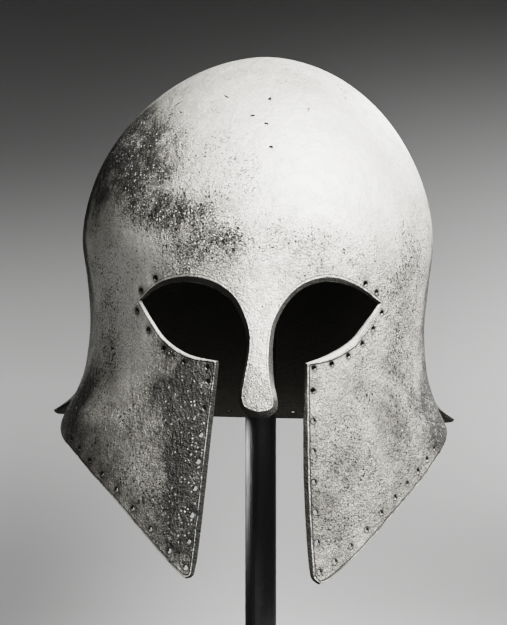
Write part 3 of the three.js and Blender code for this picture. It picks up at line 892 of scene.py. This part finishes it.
# Soft blotches with a ragged edge: a mask from 0 to 1, and the value that it is cut from.
def makeBlotches():
    inputs = {"Scale": 60.0, "Cover": 0.5, "Softness": 0.12, "Lean": 0.0, "Detail": 9.0}
    tree, given, result = newGroup("blotches", inputs, ("Mask", "Value"))
    broad = noiseAt(tree, given["Place"], given["Scale"], given["Detail"], 0.68, 0.4)
    value = plus(tree, broad, given["Lean"])
    low = minus(tree, given["Cover"], given["Softness"])
    high = plus(tree, given["Cover"], given["Softness"])
    tree.links.new(softStep(tree, value, low, high), result["Mask"])
    tree.links.new(value, result["Value"])
    return tree


# Corrosion pits: dark specks of uneven size in loose clumps, Share of the cells filled.
def makePitting():
    inputs = {"Scale": 500.0, "Share": 0.2, "Size": 0.34}
    tree, given, result = newGroup("pitting", inputs, ("Mask", "Height"))
    wobble = addNode(tree, "ShaderNodeTexNoise", {"Vector": given["Place"], "Scale": 1500.0})
    inputs = {0: wobble.outputs["Color"], "Scale": 0.0009}
    moved = addNode(tree, "ShaderNodeVectorMath", inputs, operation="SCALE").outputs[0]
    place = addNode(tree, "ShaderNodeVectorMath", {0: given["Place"], 1: moved}, operation="ADD")
    cells = addNode(tree, "ShaderNodeTexVoronoi", {"Vector": place.outputs[0], "Scale": given["Scale"]})
    chance = addNode(tree, "ShaderNodeSeparateColor", {"Color": cells.outputs["Color"]}).outputs["Red"]
    clouds = noiseAt(tree, given["Place"], 60.0, 5.0, 0.62)
    share = plus(tree, timesPlus(tree, clouds, 1.3, -0.65), given["Share"])
    size = times(tree, minus(tree, share, chance), 3.0, clamp=True)
    size = times(tree, size, given["Size"])
    mask = softStep(tree, minus(tree, size, cells.outputs["Distance"]), -0.02, 0.1)
    tree.links.new(mask, result["Mask"])
    tree.links.new(times(tree, mask, -1.0), result["Height"])
    return tree


# Broken line along an edge, from the distance to it: worn rims with their painted highlight, engraved lines,
# and painted highlights on inner corners.
def makeEdgeBand():
    inputs = {"Distance": 1.0, "Middle": 1.0, "Width": 0.4, "Broken": 0.3}
    tree, given, result = newGroup("edgeBand", inputs, ("Mask",))
    mask = softStep(tree, distanceTo(tree, given["Distance"], given["Middle"]), given["Width"], 0.0)
    rough = noiseAt(tree, given["Place"], 160.0, 4.0)
    low = minus(tree, given["Broken"], 0.08)
    kept = softStep(tree, rough, low, plus(tree, given["Broken"], 0.08))
    tree.links.new(times(tree, mask, kept), result["Mask"])
    return tree


# Fine scratches in several directions.
def makeScratches():
    tree, given, result = newGroup("scratches", {"Scale": 40.0, "Cover": 0.06}, ("Mask",))
    total = None
    for turn in ((0.3, 0.2, 0.5), (1.1, 0.7, 2.1), (-0.6, 0.4, 1.3)):
        stretched = {"Vector": given["Place"], "Rotation": turn, "Scale": (1.0, 14.0, 1.0)}
        turned = addNode(tree, "ShaderNodeMapping", stretched).outputs[0]
        away = distanceTo(tree, noiseAt(tree, turned, given["Scale"], 2.0, 0.4, 0.3), 0.62)
        line = softStep(tree, away, times(tree, given["Cover"], 0.3), 0.0)
        total = line if total is None else doMath(tree, "MAXIMUM", total, line)
    tree.links.new(total, result["Mask"])
    return tree


# Dust that settles on upward faces.
def makeDust():
    tree, given, result = newGroup("dust", {"Scale": 90.0, "Amount": 0.5}, ("Mask",))
    facing = softStep(tree, upwardShare(tree), 0.25, 0.95)
    clumps = noiseAt(tree, given["Place"], given["Scale"], 8.0, 0.7)
    mask = times(tree, facing, softStep(tree, clumps, 0.35, 0.7))
    tree.links.new(times(tree, mask, given["Amount"]), result["Mask"])
    return tree


blotches = makeBlotches()
pitting = makePitting()
edgeBand = makeEdgeBand()
scratches = makeScratches()
dust = makeDust()
print("shader groups built")


def newMaterial(name):
    material = bpy.data.materials.new(name)
    material.use_nodes = True
    tree = material.node_tree
    tree.nodes.clear()
    shader = tree.nodes.new("ShaderNodeBsdfPrincipled")
    output = tree.nodes.new("ShaderNodeOutputMaterial")
    tree.links.new(shader.outputs[0], output.inputs["Surface"])
    place = addNode(tree, "ShaderNodeTexCoord").outputs["Object"]
    return material, tree, shader, place


def readAttribute(tree, name):
    return addNode(tree, "ShaderNodeAttribute", attribute_name=name).outputs["Fac"]


def bumped(tree, height, distance, strength):
    inputs = {"Height": height, "Distance": distance, "Strength": strength}
    return addNode(tree, "ShaderNodeBump", inputs).outputs[0]


bronzeLook = {
    "pale": (0.56, 0.547, 0.515, 1),
    "middle": (0.34, 0.328, 0.298, 1),
    "dark": (0.045, 0.043, 0.038, 1),
    # the darkest tone: pits and specks, and painted shade in the holes and on the cut faces
    "speckAndShade": (0.024, 0.0228, 0.02, 1),
    # pale worn metal, also the colour of painted glints and painted edge highlights
    "wornAndHighlight": (0.74, 0.72, 0.67, 1),
    # near black for the cut faces: painted shade
    "shadedCutEdge": (0.03, 0.0285, 0.025, 1),
    # the inner face: its darker patina and painted shade of the hollow
    "inside": (0.085, 0.08, 0.07, 1),
    "tones": (("pale", 0.0), ("middle", 0.42), ("dark", 0.92)),  # from clean to stained, with painted shade among the stains
    "metallic": 0.3,
    "roughness": 0.5,
    "sandScale": 1250.0,
    "reliefDepth": 0.0026,
    "patches": namedRows(
        "name scale cover softness lean",
        ("broad", 30.0, 0.56, 0.13, 1),
        ("small", 150.0, 0.6, 0.12, 1),
        ("grain", 900.0, 0.56, 0.1, 0.6)),
    "pitting": namedRows(
        "name scale share gain size",
        ("fine", 1150.0, 0.28, 0.85, 0.5),
        ("specks", 620.0, 0.13, 0.75, 0.44),
        ("pits", 390.0, -0.04, 0.46, 0.38),
        # glints are painted highlights: pale flecks laid on in the worn colour
        ("glints", 640.0, 0.03, 0.42, 0.34)),
    "edgeLines": namedRows(  # mm from the rim, the inner one in shares of the wall
        "name middle width broken",
        ("engraved", 1.05, 0.45, 0.28),
        ("wear", 0.25, 0.34, 0.46),
        ("inner", 0.62, 0.07, 0.5)),
}


# Rough corroded relief: heights at three sizes, smoother where Calm is high.
def makeCorrosion():
    tree, given, result = newGroup("corrosion", {"Calm": 0.0}, ("Height", "Crust"))
    total = None
    for scale, share, detail in ((300.0, 0.85, 3.0), (700.0, 0.95, 2.0), (1400.0, 0.4, 1.0)):
        lumps = noiseAt(tree, given["Place"], scale, detail, 0.6, 0.25)
        lumps = times(tree, minus(tree, lumps, 0.5), share)
        total = lumps if total is None else plus(tree, total, lumps)
    ridged = noiseAt(tree, given["Place"], 210.0, 4.0, 0.55, 1.4)
    crease = softStep(tree, distanceTo(tree, ridged, 0.5), 0.035, 0.0)
    kept = noiseAt(tree, given["Place"], 55.0, 3.0)
    crease = times(tree, crease, softStep(tree, kept, 0.5, 0.64))
    rough = minus(tree, 1.0, given["Calm"], clamp=True)
    height = times(tree, timesPlus(tree, crease, -0.1, total), rough)
    tree.links.new(height, result["Height"])
    tree.links.new(times(tree, crease, rough), result["Crust"])
    return tree


corrosion = makeCorrosion()


def makeBronze(look):
    material, tree, shader, place = newMaterial("patinatedBronze")
    uneven = softStep(tree, noiseAt(tree, place, 85.0, 8.0, 0.68), 0.3, 0.7, 0.45, 1.55)
    # the stain attribute carries the patina's tone together with painted shade and painted light
    stainAndShading = times(tree, readAttribute(tree, "stainAndShading"), uneven)
    rimGap = readAttribute(tree, "rimGap")
    holeGap = readAttribute(tree, "holeGap")
    inside = readAttribute(tree, "inside")
    level = readAttribute(tree, "level")
    # lower grows towards the bottom of the sheet: it darkens the patina there, partly as painted shade, and
    # adds pits, sand and rougher relief
    lower = softStep(tree, level, 210.0, 60.0)

    lean = timesPlus(tree, stainAndShading, 0.22, times(tree, lower, 0.05))
    patches = {}
    for row in look["patches"]:
        leaning = lean if row["lean"] == 1 else times(tree, lean, row["lean"])
        inputs = {"Scale": row["scale"], "Cover": row["cover"], "Softness": row["softness"]}
        patches[row["name"]] = useGroup(tree, blotches, place, inputs | {"Lean": leaning})
    broad, small, grain = patches["broad"], patches["small"], patches["grain"]
    dots = times(tree, readAttribute(tree, "dots"), uneven)
    masks = {}
    for row in look["pitting"]:
        share = timesPlus(tree, dots, row["gain"], timesPlus(tree, lower, 0.09, row["share"]))
        inputs = {"Scale": row["scale"], "Share": plus(tree, share, lean), "Size": row["size"]}
        masks[row["name"]] = useGroup(tree, pitting, place, inputs)
    specks, pits = masks["specks"], masks["pits"]
    calm = timesPlus(tree, stainAndShading, -0.9, timesPlus(tree, lower, -0.6, 0.92), clamp=True)
    relief = useGroup(tree, corrosion, place, {"Calm": calm})

    unevenness = plus(tree, broad["Value"], times(tree, small["Value"], 0.9))
    depth = timesPlus(tree, stainAndShading, 0.62, timesPlus(tree, lower, 0.3, unevenness))
    ramp = addNode(tree, "ShaderNodeValToRGB", {"Fac": softStep(tree, depth, 0.6, 2.0)})
    ramp.color_ramp.elements.new(0.5)
    for (tone, spot), element in zip(look["tones"], ramp.color_ramp.elements):
        element.position = spot
        element.color = look[tone]
    colour = overlaid(tree, ramp.outputs["Color"], (
        (grain["Mask"], 0.25, look["dark"]),
        (relief["Crust"], 0.5, look["dark"]),
        (masks["fine"]["Mask"], 0.7, look["speckAndShade"]),
        (specks["Mask"], 0.85, look["speckAndShade"]),
        (pits["Mask"], 0.92, look["speckAndShade"]),
        (masks["glints"]["Mask"], 0.7, look["wornAndHighlight"])))
    # pale flecks on the crust: pale crust partly, painted glints partly
    crustFleckAndGlint = times(tree, relief["Crust"], times(tree, dots, 1.3, clamp=True))
    colour = mixColour(tree, crustFleckAndGlint, colour, look["wornAndHighlight"])
    sand = noiseAt(tree, place, look["sandScale"], 2.0, 0.7)
    sandShare = timesPlus(tree, dots, 0.6, timesPlus(tree, lower, 0.22, 0.1), clamp=True)
    sandGrey = softStep(tree, sand, 0.38, 0.62, 0.15, 1.95)
    sandInputs = dict.fromkeys(("Red", "Green", "Blue"), sandGrey)
    sandTone = addNode(tree, "ShaderNodeCombineColor", sandInputs).outputs[0]
    colour = mixColour(tree, sandShare, colour, mixColour(tree, 1.0, colour, sandTone, "MULTIPLY"))

    # a dark halo round each lining hole: painted shade in its punched dimple
    holeDimpleShade = softStep(tree, timesPlus(tree, small["Value"], 3.0, holeGap), 3.7, 1.6)
    bands = {}
    for row, distance in zip(look["edgeLines"], (rimGap, rimGap, inside)):
        inputs = {"Middle": row["middle"], "Width": row["width"], "Broken": row["broken"]}
        bands[row["name"]] = useGroup(tree, edgeBand, place, inputs | {"Distance": distance})["Mask"]
    offNose = softStep(tree, doMath(tree, "ABSOLUTE", oneAxis(tree, place, "X")), 0.012, 0.02, 0.3, 1.0)
    line = times(tree, bands["engraved"], softStep(tree, level, 128.0, 118.0, 0.4, 1.0))
    line = times(tree, line, offNose)
    cut = softStep(tree, inside, 0.14, 0.3)
    face = minus(tree, 1.0, cut)
    line = times(tree, line, face)
    # the band along the rim's outer corner is worn metal with a painted edge highlight
    wornAndHighlight = times(tree, bands["wear"], face)
    colour = overlaid(tree, colour, (
        (holeDimpleShade, 0.5, look["dark"]),
        (line, 0.95, look["speckAndShade"]),
        (wornAndHighlight, 0.8, look["wornAndHighlight"]),
        # the holes' edges and walls are painted near black: painted shade
        (softStep(tree, holeGap, 0.6, 0.3), 0.9, look["speckAndShade"])))
    # the cut faces are painted near black as painted shade, with pale painted light where they look upwards
    paintedCutFace = mixColour(tree, softStep(tree, grain["Value"], 0.36, 0.56), look["shadedCutEdge"], look["speckAndShade"])
    # cut faces that look upwards are painted pale: painted light from above
    upward = softStep(tree, upwardShare(tree), 0.05, 0.5)
    rubbedAndLit = times(tree, upward, softStep(tree, inside, 0.62, 0.46, 0.0, 0.85))
    paintedCutFace = mixColour(tree, rubbedAndLit, paintedCutFace, look["pale"])
    colour = mixColour(tree, times(tree, cut, 0.95), colour, paintedCutFace)
    # the inner face is painted dark: darker patina and painted shade of the hollow
    within = softStep(tree, inside, 0.84, 0.95)
    colour = mixColour(tree, within, colour, look["inside"])
    # a pale line at the cut's inner corner: a painted highlight
    colour = overlaid(tree, colour, ((bands["inner"], 0.4, look["middle"]),))

    rough = summed(tree, look["roughness"], ((small["Mask"], 0.12), (specks["Mask"], 0.2), (wornAndHighlight, -0.2)))
    rough = timesPlus(tree, cut, 0.5, rough, clamp=True)
    metal = times(tree, minus(tree, 1.0, small["Mask"]), look["metallic"])
    metal = times(tree, timesPlus(tree, wornAndHighlight, 0.3, metal, clamp=True), face)

    height = summed(tree, relief["Height"], (
        (pits["Height"], 0.55),
        (specks["Height"], 0.16),
        (masks["fine"]["Height"], 0.1),
        (masks["glints"]["Height"], -0.2),
        (sand, times(tree, sandShare, 0.6)),
        (small["Value"], 0.4),
        (crustFleckAndGlint, 0.4),
        (line, -0.3)))
    normal = bumped(tree, height, look["reliefDepth"], 1.0)
    fillInputs(tree, shader, {"Base Color": colour, "Roughness": rough, "Normal": normal, "Metallic": metal})
    return material


helmet.data.materials.append(makeBronze(bronzeLook))


standLook = {
    "paint": (0.016, 0.016, 0.017, 1),
    # paler paint where the stand is rubbed and scratched
    "rubbedAndLit": (0.06, 0.059, 0.057, 1),
    "dustColour": (0.2, 0.195, 0.185, 1),
    "roughness": 0.46,
    "coat": 0.15,
    "reliefDepth": 0.00006,
}


def makeStandPaint(look):
    material, tree, shader, place = newMaterial("satinBlackPaint")
    fine = useGroup(tree, blotches, place, {"Scale": 1400.0, "Cover": 0.5, "Softness": 0.2})
    cloud = useGroup(tree, blotches, place, {"Scale": 70.0, "Cover": 0.55, "Softness": 0.2})
    marks = useGroup(tree, scratches, place, {"Scale": 60.0, "Cover": 0.03})
    settled = useGroup(tree, dust, place, {"Scale": 240.0, "Amount": 0.35})
    layers = ((marks["Mask"], 0.35, look["rubbedAndLit"]), (fine["Mask"], 0.12, look["rubbedAndLit"]))
    colour = overlaid(tree, look["paint"], layers)
    colour = mixColour(tree, settled["Mask"], colour, look["dustColour"])
    rough = timesPlus(tree, cloud["Mask"], 0.08, look["roughness"])
    rough = timesPlus(tree, settled["Mask"], 0.4, rough, clamp=True)
    height = timesPlus(tree, marks["Mask"], -0.5, fine["Value"])
    normal = bumped(tree, height, look["reliefDepth"], 0.8)
    fillInputs(tree, shader, {"Base Color": colour, "Roughness": rough, "Normal": normal})
    fillInputs(tree, shader, {"Coat Weight": look["coat"]})
    return material


paint = makeStandPaint(standLook)
for node in ("stand_post", "stand_base", "stand_head_rest"):
    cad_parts[node].material_slots[0].material = paint
print("materials set")


# The pale sweep behind and below, in metres. Its left side is painted darker low down and high up: painted
# shade.
sweepLook = {
    "width": 6,
    "behind": 0.4,
    "ahead": 2.6,
    "bend": 1.5,
    "bendSteps": 16,
    "height": 3.4,
    "drop": 0.0002,  # under the floor, so that the base doesn't touch it
    "tone": (0.38, 0.38, 0.377, 1),
    "roughness": 0.9,
    "shade": (0.02, 0.02, 0.02, 1),
    "shaded": namedRows(
        "nearZ farZ nearX farX share",
        (0.16, 0.0, 0.05, -0.17, 0.7),
        (0.2, 0.38, 0.2, -0.25, 0.4)),
}


def addSweep(look):
    profile = [(-look["ahead"], 0), (look["behind"], 0)]
    for step in range(1, look["bendSteps"] + 1):
        turn = math.radians(90 * step / look["bendSteps"])
        profile.append((
            look["behind"] + look["bend"] * math.sin(turn),
            look["bend"] * (1 - math.cos(turn))))
    profile.append((look["behind"] + look["bend"], look["height"]))
    vertices = [(side * look["width"] / 2, y, z - look["drop"]) for y, z in profile for side in (-1, 1)]
    faces = [(2 * i, 2 * i + 1, 2 * i + 3, 2 * i + 2) for i in range(len(profile) - 1)]
    data = bpy.data.meshes.new("sweep")
    data.from_pydata(vertices, [], faces)
    data.shade_smooth()
    sweep = addObject("sweep", data)
    material, tree, shader, place = newMaterial("sweepPaper")
    fibre = useGroup(tree, blotches, place, {"Scale": 2.0, "Cover": 0.5, "Softness": 0.5})
    darker = tuple(0.96 * v for v in look["tone"][:3]) + (1,)
    paper = mixColour(tree, fibre["Mask"], look["tone"], darker)
    spot = addNode(tree, "ShaderNodeSeparateXYZ", {0: place})
    # painted shade on the paper's left side, low down and high up
    for row in look["shaded"]:
        byHeight = softStep(tree, spot.outputs["Z"], row["nearZ"], row["farZ"])
        corner = times(tree, byHeight, softStep(tree, spot.outputs["X"], row["nearX"], row["farX"]))
        paper = overlaid(tree, paper, ((corner, row["share"], look["shade"]),))
    tree.links.new(paper, shader.inputs["Base Color"])
    shader.inputs["Roughness"].default_value = look["roughness"]
    # seen from behind, the paper lets the view through
    mixer = tree.nodes.new("ShaderNodeMixShader")
    tree.links.new(addNode(tree, "ShaderNodeNewGeometry").outputs["Backfacing"], mixer.inputs[0])
    tree.links.new(shader.outputs[0], mixer.inputs[1])
    tree.links.new(tree.nodes.new("ShaderNodeBsdfTransparent").outputs[0], mixer.inputs[2])
    output = next(node for node in tree.nodes if node.type == "OUTPUT_MATERIAL")
    tree.links.new(mixer.outputs[0], output.inputs["Surface"])
    data.materials.append(material)
    return sweep


sweep = addSweep(sweepLook)

# Soft light: a large key from the right, a weak fill, a lamp each for sweep and post, one from behind.
lights = namedRows(
    "name place aim size power spread",
    ("key", (1.2, -1.42, 1.75), (0, -0.05, 0.4), (0.95, 0.95), 13, 34),
    ("fill", (-0.75, -1.7, 0.3), (0, 0, 0.15), (0.9, 0.9), 1, 50),
    ("sweepLamp", (0.8, 0.4, 0.9), (0.4, 1.15, 0.05), (0.3, 0.3), 1.9, 50),
    ("postLamp", (-0.5, 0.22, 0.2), (0, 0, 0.165), (0.04, 0.1), 0.05, 14),
    ("backLamp", (0.65, 1.35, 0.8), (0, 0.03, 0.22), (0.3, 0.3), 0.26, 20))


def addLight(row):
    data = bpy.data.lights.new(row["name"], "AREA")
    data.shape = "RECTANGLE"
    data.size, data.size_y = row["size"]
    data.energy = row["power"]
    data.spread = math.radians(row["spread"])
    lamp = addObject(row["name"], data)
    lamp.location = row["place"]
    towards = Vector(row["aim"]) - Vector(row["place"])
    lamp.rotation_euler = towards.to_track_quat("-Z", "Y").to_euler()


for row in lights:
    addLight(row)

world = bpy.data.worlds.new("studio")
world.use_nodes = True
world.node_tree.nodes["Background"].inputs["Color"].default_value = (0.5, 0.5, 0.5, 1)
world.node_tree.nodes["Background"].inputs["Strength"].default_value = 0.05
bpy.context.scene.world = world
bpy.context.scene.view_settings.view_transform = "Filmic"
bpy.context.scene.view_settings.look = "High Contrast"
print("stage and lights set")
